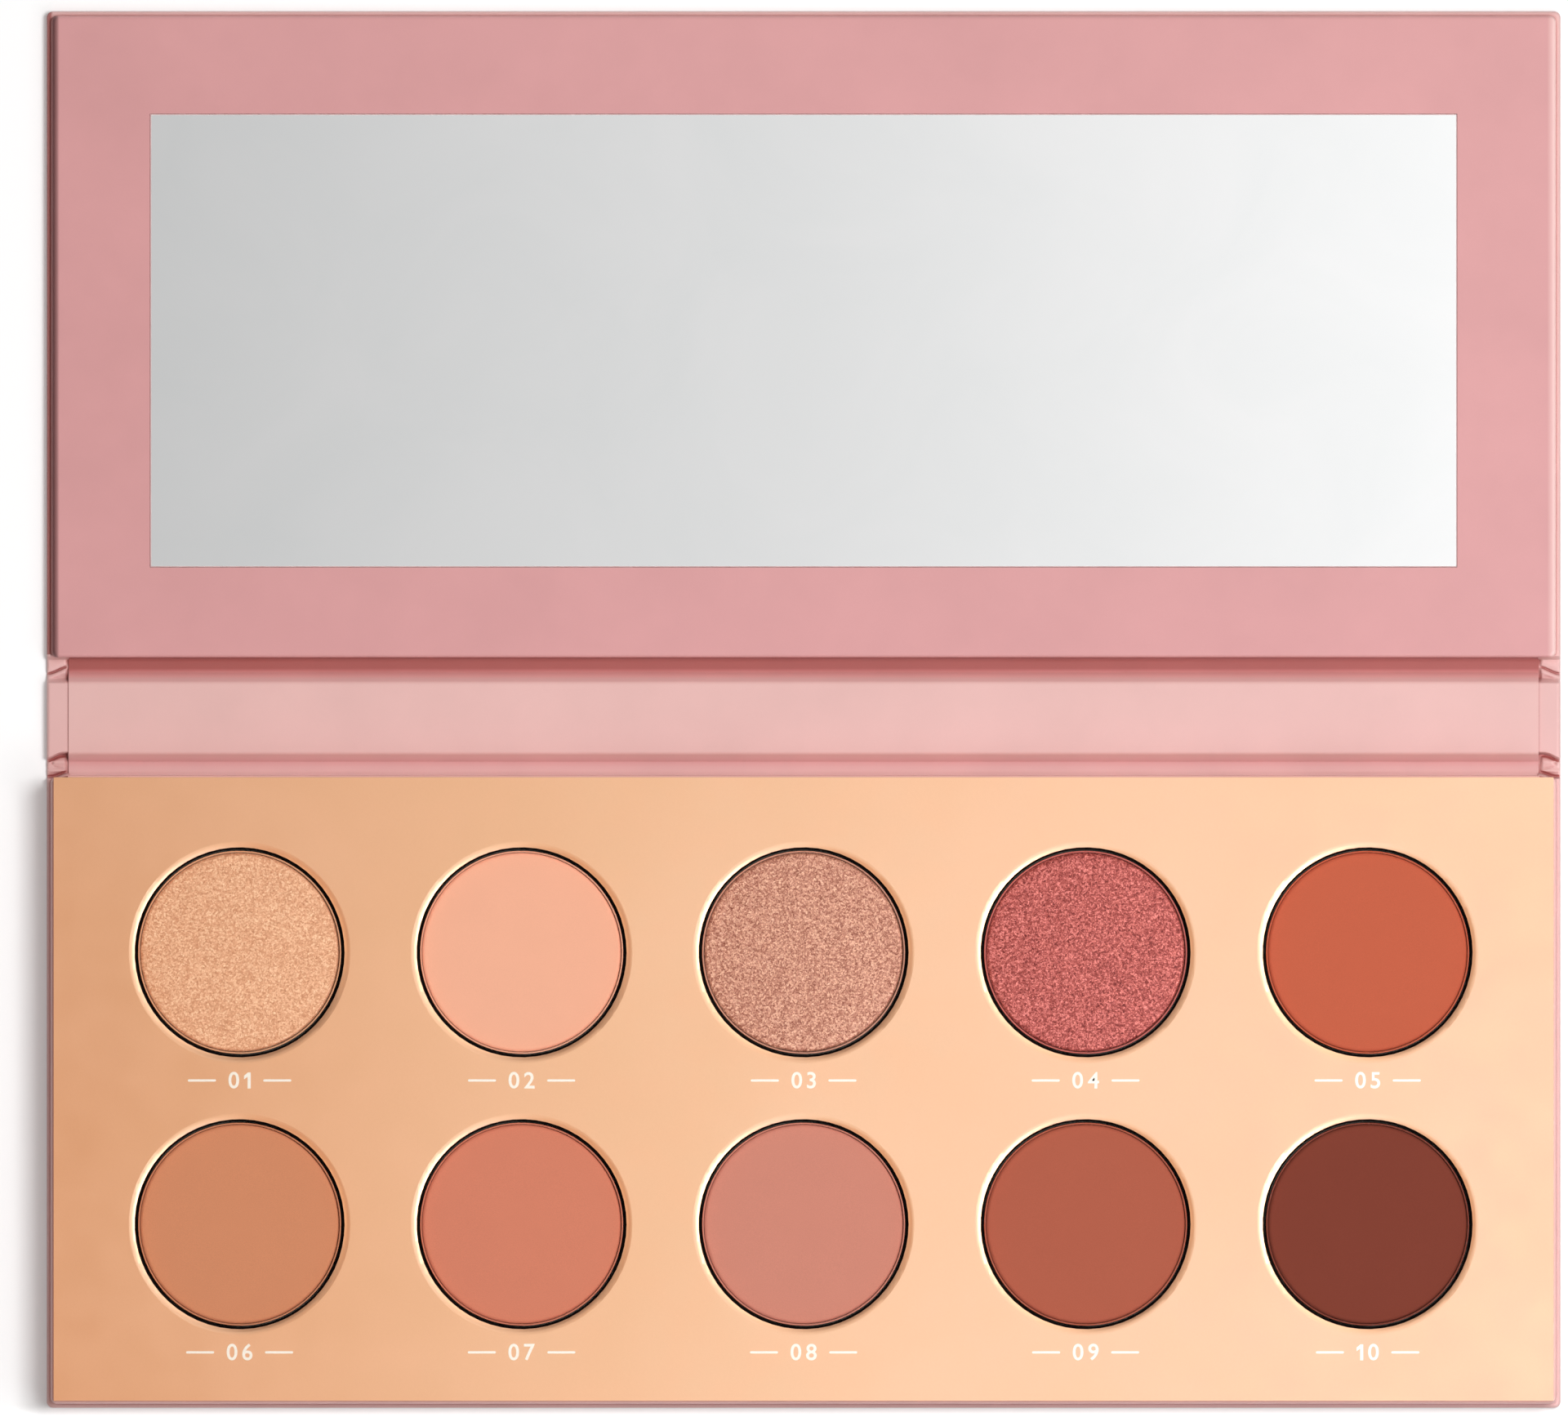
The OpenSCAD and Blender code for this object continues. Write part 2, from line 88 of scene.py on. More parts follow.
class Graph:
    """The node tree of a material or world, with helpers that add nodes to it."""

    def __init__(self, owner):
        owner.use_nodes = True
        self.tree = owner.node_tree
        self.tree.nodes.clear()

    def put(self, socket, value):
        """Links a node's output to an input, or sets the input to a constant."""
        if isinstance(value, bpy.types.NodeSocket):
            self.tree.links.new(value, socket)
        else:
            socket.default_value = value

    def add(self, kind, inputs=(), **settings):
        node = self.tree.nodes.new(kind)
        for key, value in settings.items():
            setattr(node, key, value)
        for key, value in dict(inputs).items():
            self.put(node.inputs[key], value)
        return node

    def coordinates(self):
        """Object coordinates, which are the palette's own in metres."""
        return self.add("ShaderNodeTexCoord").outputs["Object"]

    def axis(self, letter):
        return self.add("ShaderNodeSeparateXYZ", {0: self.coordinates()}).outputs[letter]

    def span(self, value, low, high, new_low=0.0, new_high=1.0, smooth=False):
        """The value's range from low to high, carried over to a new range and kept inside it."""
        return self.add("ShaderNodeMapRange", {
            "Value": value, "From Min": low, "From Max": high, "To Min": new_low,
            "To Max": new_high}, interpolation_type="SMOOTHSTEP" if smooth else "LINEAR"
        ).outputs["Result"]

    def blend(self, factor, a, b, mode="MIX"):
        node = self.add("ShaderNodeMix", {0: factor, 6: a, 7: b}, data_type="RGBA", blend_type=mode)
        return node.outputs[2]

    def math(self, operation, a, b=0.0):
        return self.add("ShaderNodeMath", {0: a, 1: b}, operation=operation).outputs[0]

    def ramp(self, factor, stops):
        """A colour that runs through stops, each (place from 0 to 1, (r, g, b))."""
        node = self.add("ShaderNodeValToRGB", {"Fac": factor})
        elements = node.color_ramp.elements
        while len(elements) < len(stops):
            elements.new(0.5)
        for element, (place, colour) in zip(elements, stops):
            element.position = place
            element.color = tuple(colour) + (1,)
        return node.outputs["Color"]


class Look(Graph):
    """A material with a Principled shader; its textures sit still on the piece."""

    def __init__(self, name, **constants):
        self.material = bpy.data.materials.new(name)
        super().__init__(self.material)
        self.shader = self.add("ShaderNodeBsdfPrincipled")
        self.add("ShaderNodeOutputMaterial", {"Surface": self.shader.outputs["BSDF"]})
        self.place = self.coordinates()
        self.link(**constants)

    def link(self, **sockets):
        """Sets or links the shader's sockets, and returns the material."""
        for key, value in sockets.items():
            self.put(self.shader.inputs[key.replace("_", " ")], value)
        return self.material

    def noise(self, size_mm, detail=2.0, roughness=0.5, distortion=0.0, place=None):
        """Noise whose features are about size_mm across."""
        return self.add("ShaderNodeTexNoise", {
            "Vector": place or self.place, "Scale": 1 / MM / size_mm, "Detail": detail,
            "Roughness": roughness, "Distortion": distortion}).outputs["Fac"]

    def cells(self, size_mm, output="Color"):
        return self.add("ShaderNodeTexVoronoi", {
            "Vector": self.place, "Scale": 1 / MM / size_mm}).outputs[output]

    def stretched(self, x, y, z):
        return self.add("ShaderNodeMapping", {
            "Vector": self.place, "Scale": (x, y, z)}).outputs["Vector"]

    def bump(self, height, depth_mm, strength=1.0, normal=None):
        inputs = {"Height": height, "Distance": depth_mm * MM, "Strength": strength}
        if normal is not None:
            inputs["Normal"] = normal
        return self.add("ShaderNodeBump", inputs).outputs["Normal"]


# ---------- materials (millimetres) ----------

# Painted shade: the dark red that stands in for shade in folds, grooves, recesses and shaded edges, and
# how strongly it is laid on.
SHADE_COLOUR = (0.50, 0.20, 0.19, 1)
SHADE_AMOUNT = 0.85
# How far the painted crease shade looks for nearby surfaces.
SHADE_REACH = 1.2
FRAME_ROLL = (-95.35, -96.75)
ROLL_DROP = 1.2
# Painted highlight: the frame paper's right edge is painted paler where it catches the light.
HIGHLIGHT_X = (95.3, 96.2)
HIGHLIGHT_COLOUR = tone(252, 214, 208)
# Painted shade along the lid cover's left seam, where its left edge faces away from the light.
SEAM_SHADE_X = (-96.2, -96.5)
SEAM_SHADE_Z = (1.1, 1.5)
RIM_DUST_Z = (8.2, 8.5)
BEVEL = (0.10, 0.13)


def paper(name, colour, groove_shade=(), crease_shade=0.75, rolled_lit=False, seam_shaded=False):
    """Soft-touch laminated paper: faint clouding, fine fibres and a soft sheen.

    The paper is darker and redder where nearby surfaces close it in, a painted shade in folds,
    grooves and recesses; a groove can add its own painted shade as tints listed (y, tint) across
    the palette. With a roll, the paper falls away softly at its left edge, where a painted shade
    darkens it, and gets a painted highlight at its right edge. With a seam shade, the paper gets a
    painted shade along the left seam above it.
    """
    look = Look(name, Specular_IOR_Level=0.5, Sheen_Weight=0.08, Sheen_Roughness=0.5)
    cloud = look.noise(14, 3.0, 0.55)
    fibre = look.noise(0.16, 4.0, 0.65, 0.6)
    base = look.blend(look.span(cloud, 0.3, 0.7), scaled(colour, 0.965), scaled(colour, 1.035))
    base = look.blend(look.span(fibre, 0.25, 0.75), base,
                      look.blend(0.10, base, scaled(colour, 0.75)))
    # Painted shade: the paper's colour darkened to the shade colour.
    shaded = look.blend(1.0, base, SHADE_COLOUR, "MULTIPLY")
    # Painted shade along a groove: tints by y darken the paper where shade falls in the groove.
    if groove_shade:
        first, last = groove_shade[0][0], groove_shade[-1][0]
        groove_tints = look.ramp(look.span(look.axis("Y"), *from_mm(first, last)),
                          [((y - first) / (last - first), tint) for y, tint in groove_shade])
        base = look.blend(1.0, base, groove_tints, "MULTIPLY")
    # Painted shade where nearby surfaces close the paper in, found with an ambient occlusion node.
    open_sky = look.add("ShaderNodeAmbientOcclusion", {"Distance": SHADE_REACH * MM},
                        samples=6).outputs["AO"]
    base = look.blend(look.span(open_sky, 0.40, 0.80, crease_shade, 0.0), base, shaded)
    roughness = look.span(look.noise(3.0, 3.0), 0.3, 0.7, 0.41, 0.51)
    normal = look.bump(look.noise(1.6, 3.0, 0.6), 0.02, 0.35, look.bump(fibre, 0.012, 0.5))
    if rolled_lit:
        x = look.axis("X")
        height = look.span(x, *from_mm(*FRAME_ROLL), 1.0, 0.0, smooth=True)
        normal = look.bump(height, ROLL_DROP, 1.0, normal)
        # Painted shade: the left edge, where the roll falls away, is darkened to the shade colour.
        base = look.blend(look.span(height, 1.0, 0.4, 0.0, SHADE_AMOUNT), base, shaded)
        # Painted highlight along the right edge.
        base = look.blend(look.span(x, *from_mm(*HIGHLIGHT_X), 0.0, 0.75), base, HIGHLIGHT_COLOUR)
    # Painted shade along the left seam.
    if seam_shaded:
        seam = look.math("MULTIPLY", look.span(look.axis("X"), *from_mm(*SEAM_SHADE_X), 0.0, SHADE_AMOUNT),
                         look.span(look.axis("Z"), *from_mm(*SEAM_SHADE_Z)))
        base = look.blend(seam, base, shaded)
    return look.link(Base_Color=base, Roughness=roughness, Normal=normal)


def greyboard():
    look = Look("greyboard", Specular_IOR_Level=0.3)
    fibre = look.noise(0.35, 5.0, 0.7, 1.2)
    fleck = look.cells(1.1, "Distance")
    base = look.blend(look.span(fibre, 0.3, 0.7), tone(148, 144, 136), tone(186, 181, 171))
    base = look.blend(look.span(fleck, 0.0, 0.12, 0.5, 0.0), base, tone(104, 98, 90))
    return look.link(Base_Color=base, Roughness=look.span(fibre, 0, 1, 0.8, 0.95),
                     Normal=look.bump(fibre, 0.04, 0.6))


def foil():
    """Satin rose-gold foil on card."""
    look = Look("rose_gold_foil", Metallic=0.86, Specular_IOR_Level=0.5, Coat_Weight=0.35,
                Coat_Roughness=0.32)
    grain = look.noise(0.22, 3.0, 0.6)
    cloud = look.noise(30, 2.0, 0.5, 0.4)
    base = look.blend(look.span(cloud, 0.3, 0.7), tone(252, 196, 152), tone(255, 200, 158))
    base = look.blend(look.span(grain, 0.2, 0.8, 0.0, 0.06), base, tone(206, 140, 98))
    roughness = look.span(look.noise(5.0, 3.0), 0.3, 0.7, 0.34, 0.39)
    soft = look.bump(look.noise(2.2, 3.0, 0.6), 0.006, 0.15)
    return look.link(Base_Color=base, Roughness=roughness, Normal=look.bump(grain, 0.004, 0.4, soft))


def foam():
    look = Look("black_foam", Specular_IOR_Level=0.05)
    cell = look.cells(0.35, "Distance")
    base = look.blend(look.span(cell, 0.0, 0.6), tone(5, 3, 3), tone(14, 10, 10))
    return look.link(Base_Color=base, Roughness=look.span(cell, 0, 1, 0.85, 1.0),
                     Normal=look.bump(cell, 0.08, 0.7))


def pan_metal(index, dust):
    """Drawn aluminium with powder dust on its rim."""
    look = Look(f"pan_aluminium_{index}", Specular_IOR_Level=0.1)
    marks = look.noise(0.5, 4.0, 0.6, place=look.stretched(1.0, 1.0, 14.0))
    metal = look.blend(marks, tone(150, 146, 144), tone(196, 192, 190))
    grains = look.math("ADD", look.span(look.noise(0.3, 3.0, 0.7), 0.3, 0.7, -0.15, 0.15),
                       look.span(look.axis("Z"), *from_mm(*RIM_DUST_Z)))
    dusted = look.add("ShaderNodeClamp", {"Value": grains}).outputs["Result"]
    base = look.blend(dusted, metal, scaled(dust, 0.90))
    return look.link(Base_Color=base, Metallic=look.span(dusted, 0, 1, 1.0, 0.0),
                     Roughness=look.span(dusted, 0, 1, 0.35, 0.8),
                     Normal=look.bump(marks, 0.008, 0.3))


def silvering():
    """Silvered acrylic whose bevelled edge is pale and matt: a ground finish that also serves as a
    painted highlight along the bevel.
    """
    look = Look("mirror_silver")
    low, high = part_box("mirror_glass")
    y = look.axis("Y")
    from_side = look.math("SUBTRACT", high.x, look.math("ABSOLUTE", look.axis("X")))
    from_front = look.math("SUBTRACT", y, low.y)
    from_back = look.math("SUBTRACT", high.y, y)
    inset = look.math("MINIMUM", from_side, look.math("MINIMUM", from_front, from_back))
    # Painted highlight: the band along the bevel is pale and matt.
    pale_edge = look.span(inset, *from_mm(*BEVEL), 1.0, 0.0)
    haze = look.noise(24, 4.0, 0.6, 0.8)
    silver = look.blend(look.span(haze, 0.3, 0.7), tone(244, 245, 245), tone(248, 248, 248))
    gloss = look.span(haze, 0.35, 0.75, 0.012, 0.03)
    return look.link(Base_Color=look.blend(pale_edge, silver, tone(250, 240, 238)),
                     Metallic=look.span(pale_edge, 0, 1, 1.0, 0.0),
                     Roughness=look.math("MAXIMUM", gloss, look.math("MULTIPLY", pale_edge, 0.5)))


def plated():
    look = Look("magnet_plating", Metallic=1.0)
    lines = look.noise(0.2, 3.0, 0.6, place=look.stretched(0.15, 1.0, 1.0))
    base = look.blend(lines, tone(150, 150, 154), tone(190, 190, 194))
    return look.link(Base_Color=base, Roughness=look.span(lines, 0.2, 0.8, 0.25, 0.45),
                     Normal=look.bump(lines, 0.005, 0.3))


def adhesive():
    look = Look("adhesive", Specular_IOR_Level=0.5)
    grain = look.noise(0.8, 4.0, 0.6)
    base = look.blend(grain, tone(226, 224, 212), tone(242, 240, 230))
    return look.link(Base_Color=base, Roughness=look.span(grain, 0.2, 0.8, 0.4, 0.65),
                     Normal=look.bump(grain, 0.03, 0.4))


def cream_foil():
    look = Look("cream_foil", Metallic=0.3, Specular_IOR_Level=0.6)
    grain = look.noise(0.12, 3.0, 0.6)
    base = look.blend(look.span(grain, 0.3, 0.7), tone(252, 240, 222), tone(255, 250, 238))
    return look.link(Base_Color=base, Roughness=look.span(grain, 0.2, 0.8, 0.35, 0.5),
                     Normal=look.bump(grain, 0.004, 0.4))


def matte_powder(name, colour, grain_depth=0.10):
    """Pressed matte pigment: fine grain, a few darker specks, broad soft shading."""
    look = Look(name, Specular_IOR_Level=0.12, Sheen_Weight=0.02, Sheen_Roughness=0.6)
    grain = look.noise(0.10, 4.0, 0.7)
    patch = look.noise(5.0, 3.0, 0.5, 0.4)
    speck = look.cells(0.45, "Distance")
    base = look.blend(look.span(grain, 0.25, 0.75),
                      scaled(colour, 1 - grain_depth), scaled(colour, 1 + grain_depth))
    base = look.blend(look.span(patch, 0.3, 0.7, 0.0, 0.10), base, scaled(colour, 0.82))
    base = look.blend(look.span(speck, 0.0, 0.10, 0.22, 0.0), base, scaled(colour, 0.62))
    normal = look.bump(grain, 0.012, 0.6, look.bump(look.noise(0.6, 3.0, 0.6), 0.02, 0.5))
    return look.link(Base_Color=base, Roughness=look.span(grain, 0, 1, 0.78, 0.92), Normal=normal)


def shimmer_powder(name, dark, mid, light, sparkle):
    """Pressed pearl pigment: every platelet has its own tilt and brightness."""
    look = Look(name, Metallic=0.35, Specular_IOR_Level=0.6, Sheen_Weight=0.05)
    plates = look.cells(0.20)
    parts = look.add("ShaderNodeSeparateColor", {"Color": plates}).outputs
    fine = look.add("ShaderNodeSeparateColor", {"Color": look.cells(0.11)}).outputs["Green"]
    worm = look.noise(0.26, 2.0, 0.6, 1.0)
    shade = look.math("MULTIPLY", look.math("ADD", parts["Red"], fine), 0.5)
    shade = look.math("ADD", look.math("MULTIPLY", shade, 0.55), look.math("MULTIPLY", worm, 0.45))
    reach = 0.30 / sparkle
    low = look.blend(look.span(shade, 0.5 - reach, 0.5), dark, mid)
    base = look.blend(look.span(shade, 0.5, 0.5 + reach), low, light)
    centred = look.add("ShaderNodeVectorMath", {0: plates, 1: (0.5, 0.5, 0.5)},
                       operation="SUBTRACT").outputs[0]
    tilt = look.add("ShaderNodeVectorMath", {0: centred, "Scale": 0.22 * sparkle},
                    operation="SCALE").outputs[0]
    flat = look.bump(look.noise(0.5, 3.0, 0.6), 0.015, 0.5)
    tilted = look.add("ShaderNodeVectorMath", {0: flat, 1: tilt}, operation="ADD").outputs[0]
    normal = look.add("ShaderNodeVectorMath", {0: tilted}, operation="NORMALIZE").outputs[0]
    return look.link(Base_Color=base, Roughness=look.span(parts["Blue"], 0, 1, 0.35, 0.6),
                     Normal=normal)


PINK = tone(231, 184, 180)
LINING = tone(232, 186, 181)
ROSE = tone(220, 158, 158)
COVER_PAPER = paper("cover_paper", PINK, crease_shade=1.0)
LID_COVER = paper("lid_cover_paper", PINK, crease_shade=1.0, seam_shaded=True)
LINING_PAPER = paper("lining_paper", LINING)
# Painted shade: the base groove is darker along the crease at the foot of the spine.
BASE_GROOVE = paper("base_groove_paper", LINING, groove_shade=(
    (-8.6, (1.0, 1.0, 1.0)), (-7.9, (1.0, 0.98, 1.0)), (-7.4, (0.96, 0.89, 0.92)),
    (-6.8, (0.90, 0.73, 0.76)), (-6.3, (1.0, 0.95, 0.98)), (-5.9, (1.0, 1.0, 1.0))), crease_shade=0.35)
# Painted shade: the lid groove is dark red next to the lid's wall, where its shadow falls.
LID_GROOVE = paper("lid_groove_paper", LINING, groove_shade=(
    (3.2, (1.0, 1.0, 1.0)), (3.6, (1.0, 0.93, 0.93)), (3.9, (1.0, 0.92, 0.94)),
    (4.26, (1.0, 0.80, 0.81)), (4.68, (0.85, 0.58, 0.59)), (5.0, (0.58, 0.28, 0.28)),
    (5.3, (0.46, 0.19, 0.18)), (6.9, (0.46, 0.19, 0.18))))
FRAME_PAPER = paper("frame_paper", ROSE, crease_shade=0.2, rolled_lit=True)
CREAM = cream_foil()
SHIMMERS = (1, 3, 4)
POWDERS = {
    1: shimmer_powder("powder_champagne", tone(205, 138, 98), tone(233, 173, 133),
                      tone(255, 214, 172), 0.95),
    2: matte_powder("powder_peach", tone(251, 183, 152), 0.05),
    3: shimmer_powder("powder_rose_taupe", tone(140, 76, 60), tone(198, 136, 112),
                      tone(240, 190, 158), 1.15),
    4: shimmer_powder("powder_red_rose", tone(104, 26, 26), tone(176, 80, 72),
                      tone(236, 140, 128), 1.15),
    5: matte_powder("powder_burnt_orange", tone(200, 98, 70)),
    6: matte_powder("powder_tan", tone(216, 142, 104)),
    7: matte_powder("powder_terracotta", tone(218, 132, 105)),
    8: matte_powder("powder_dusty_rose", tone(213, 139, 120)),
    9: matte_powder("powder_brick", tone(180, 95, 73)),
    10: matte_powder("powder_brown", tone(127, 60, 45)),
}
DUSTS = (tone(233, 173, 133), tone(247, 180, 150), tone(215, 156, 133), tone(206, 112, 104),
         tone(206, 103, 74), tone(210, 139, 103), tone(214, 130, 104), tone(213, 139, 120),
         tone(186, 101, 78), tone(136, 68, 53))
NODE_LOOKS = [
    (COVER_PAPER, ["base_wrap", "spine_wrap", "tray_paper", "base_hinge_wrap", "lid_hinge_wrap"]),
    (LID_COVER, ["lid_wrap"]),
    (LINING_PAPER, ["spine_liner", "base_hinge_liner", "lid_hinge_liner"]),
    (FRAME_PAPER, ["lid_frame_paper"]),
    (greyboard(), ["base_board", "tray_frame", "pan_riser", "spine_board", "lid_board", "lid_frame"]),
    (foil(), ["foil_card"]),
    (foam(), ["pan_deck"]),
    (silvering(), ["mirror_glass"]),
    (plated(), ["tray_magnets", "lid_magnets"]),
    (adhesive(), ["pan_glue_dots", "mirror_tape"]),
]


def paint(obj, material):
    obj.data.materials.clear()
    obj.data.materials.append(material)


for material, names in NODE_LOOKS:
    for name in names:
        paint(NODES[name], material)
for i, powder_look in POWDERS.items():
    paint(NODES[f"powder_{i}"], powder_look)
    paint(NODES[f"pan_{i}"], pan_metal(i, DUSTS[i - 1]))


# ---------- mesh helpers (millimetres) ----------

SHARP_ANGLE = 50


def add_object(name, data):
    obj = bpy.data.objects.new(name, data)
    bpy.context.scene.collection.objects.link(obj)
    return obj


def add_piece(name, points, faces, material, smooth=True):
    mesh = bpy.data.meshes.new(name)
    mesh.from_pydata([tuple(p) for p in np.asarray(points, float) * MM], [], faces)
    work = bmesh.new()
    work.from_mesh(mesh)
    bmesh.ops.recalc_face_normals(work, faces=work.faces)
    work.to_mesh(mesh)
    work.free()
    mesh.polygons.foreach_set("use_smooth", [smooth] * len(mesh.polygons))
    obj = add_object(name, mesh)
    paint(obj, material)
    return obj


def shell(name, top, bottom, material):
    """The closed solid between two grids of points."""
    rows, cols = top.shape[:2]
    count = rows * cols
    faces = []
    for row in range(rows - 1):
        for col in range(cols - 1):
            a = row * cols + col
            faces.append((a, a + 1, a + cols + 1, a + cols))
            faces.append((count + a, count + a + cols, count + a + cols + 1, count + a + 1))
    rim = ([col for col in range(cols)] + [row * cols + cols - 1 for row in range(1, rows)]
           + [(rows - 1) * cols + col for col in range(cols - 2, -1, -1)]
           + [row * cols for row in range(rows - 2, 0, -1)])
    for a, b in zip(rim, rim[1:] + rim[:1]):
        faces.append((a, count + a, count + b, b))
    points = np.concatenate([top.reshape(-1, 3), bottom.reshape(-1, 3)])
    obj = add_piece(name, points, faces, material)
    obj.data.set_sharp_from_angle(angle=math.radians(SHARP_ANGLE))
    return obj


def ease(t):
    """0 below 0, 1 above 1, and a smooth step between."""
    t = np.clip(t, 0, 1)
    return t * t * (3 - 2 * t)


def bell(x, width):
    return np.exp(-(x / width) ** 2)


def rumple(x, y, size, seed):
    """Smooth noise from -1 to 1 at each point of two grids."""
    out = np.empty(x.shape)
    for index in np.ndindex(x.shape):
        out[index] = noise.noise(Vector((x[index] / size, y[index] / size, seed)))
    return out


def both_sides(side):
    """X positions across the whole palette, from the positive ones, which run inwards."""
    return np.array([-x for x in side] + [0.0] + side[::-1])


# ---------- crease papers ----------

SPINE_HIGH = box_mm("spine_wrap")[1]
LINER_LOW, LINER_HIGH = box_mm("spine_liner")
BASE_WRAP_LOW, BASE_WRAP_HIGH = box_mm("base_hinge_wrap")
LID_WRAP_LOW, LID_WRAP_HIGH = box_mm("lid_hinge_wrap")
BASE_LINER_LOW, BASE_LINER_HIGH = box_mm("base_hinge_liner")
LID_LINER_LOW, LID_LINER_HIGH = box_mm("lid_hinge_liner")
HALF_W = SPINE_HIGH.x
LINER_HALF = LINER_HIGH.x
COVER_TOP = SPINE_HIGH.z
PAPER = round(LINER_HIGH.z - LINER_LOW.z, DECIMALS)
FLOOR_Z = BASE_LINER_LOW.z + PAPER / 2
LINER_Z = LINER_LOW.z + PAPER / 2
BACK_WALL = BASE_LINER_LOW.y + PAPER / 2
LID_WALL = LID_LINER_HIGH.y - PAPER / 2
BASE_SLOPE = (-6.62, -5.575)
LID_SLOPE = (3.42, 4.78)
TURN_IN = 11.0
UNDER_LINING = HALF_W - LINER_HALF + 0.05
FOLDED_TO = 93.4
EDGE_R = 0.5
THINNEST = 0.24


def rounded(path, radii, steps=8):
    """A Y-Z path with its inner corners rounded, as an array of points."""
    points = [np.array(path[0], float)]
    for k, radius in enumerate(radii):
        before, corner, after = (np.array(p, float) for p in path[k:k + 3])
        way_in = (corner - before) / np.linalg.norm(corner - before)
        way_out = (after - corner) / np.linalg.norm(after - corner)
        turn = math.acos(float(np.clip(way_in @ way_out, -1, 1)))
        back = radius * math.tan(turn / 2)
        first, last = corner - way_in * back, corner + way_out * back
        for s in np.linspace(0, 1, steps + 1):
            points.append((1 - s) ** 2 * first + 2 * s * (1 - s) * corner + s ** 2 * last)
    points.append(np.array(path[-1], float))
    return np.array(points)


def resampled(path, step):
    """The same path with points no further apart than step."""
    out = [path[0]]
    for a, b in zip(path[:-1], path[1:]):
        count = max(1, int(math.ceil(np.linalg.norm(b - a) / step)))
        out += [a + (b - a) * k / count for k in range(1, count + 1)]
    return np.array(out)


def lining(name, path, seed, lift, material):
    """A lining strip along a Y-Z centre line; lift(x, y, z) raises it where it lies loose."""
    fine_to = LINER_HALF - 4
    xs = both_sides([*np.arange(LINER_HALF, fine_to, -0.12), *np.arange(fine_to, 0, -1.6)])
    step = np.gradient(path, axis=0)
    step /= np.linalg.norm(step, axis=1)[:, None]
    x, y = np.meshgrid(xs, path[:, 0])
    z, ny, nz = (np.meshgrid(xs, column)[1] for column in (path[:, 1], -step[:, 1], step[:, 0]))
    out = lift(x, y, z) + 0.012 * rumple(x, y * 2, 7.0, seed)
    ragged = 0.03 * rumple(x, y * 3, 2.0, seed + 5) * bell(LINER_HALF - np.abs(x), 0.3)
    top, bottom = (np.stack([x + ragged, y + ny * (out + half), z + nz * (out + half)], axis=2)
                   for half in (PAPER / 2, -PAPER / 2))
    return shell(name, top, bottom, material)


def base_lift(x, y, z):
    on_floor = ease((-6.7 - y) / 0.5) * ease((y + 8.4) / 0.5) * (z < 0.9)
    return on_floor * (0.05 * rumple(x, y, 11.0, 3.0) + 0.03)


def lid_lift(x, y, z):
    on_floor = ease((y - 4.6) / 0.5) * ease((6.5 - y) / 0.4)
    return on_floor * (0.04 * rumple(x, y, 13.0, 8.0) + 0.02)


def base_flap(u, y):
    """Top of the turned-in paper across the base groove; u is the distance from the palette's end."""
    spine_edge = -5.52 - 0.72 * ease((2.3 - u) / 2.3) ** 1.4
    tray_edge = -8.05 - 0.62 * ease((2.8 - u) / 2.2)
    end = 1 - ease((u - 2.15) / 0.5)
    ridges = 0.24 * bell(y + 6.75, 0.42) + 0.20 * bell(y + 7.85, 0.25)
    dimple = 0.26 * bell(np.hypot(u - 0.68, y + 6.85), 0.20)
    slant = 0.10 * bell(y + 7.10 + 0.22 * u, 0.11) * ease((u - 0.7) / 0.3)
    creases = (0.34 * bell(y - spine_edge + 0.34, 0.20) + 0.36 * bell(y - tray_edge - 0.08, 0.17))
    floor = 0.36 + end * (0.22 + ridges - dimple - slant - creases)
    rise = ease((y - spine_edge + 0.30) / 0.44)
    fall = np.where(u > UNDER_LINING, ease((BACK_WALL - 0.085 - y) / 0.2),
                    ease((tray_edge - y) / 0.38))
    return floor + (COVER_TOP - floor) * np.maximum(rise, fall)


def lid_flap(u, y):
    """Top of the turned-in paper across the lid groove."""
    fold = 5.50 - 0.92 * ease((2.9 - u) / 2.9)
    end = 1 - ease((u - 2.25) / 0.5)
    ridge = 0.20 * bell(y - fold + 0.55, 0.35)
    slope = 0.16 * ease((y - fold - 0.1) / 0.8)
    crease = 0.42 * bell(y - fold, 0.15)
    floor = 0.38 + end * (0.22 + ridge + slope - crease)
    spine = 1 - ease((y - 3.30) / 0.80)
    cover = np.where(u > UNDER_LINING, ease((y - LID_WALL - 0.085) / 0.2), ease((y - 6.30) / 0.62))
    return floor + (COVER_TOP - floor) * np.maximum(spine, cover)


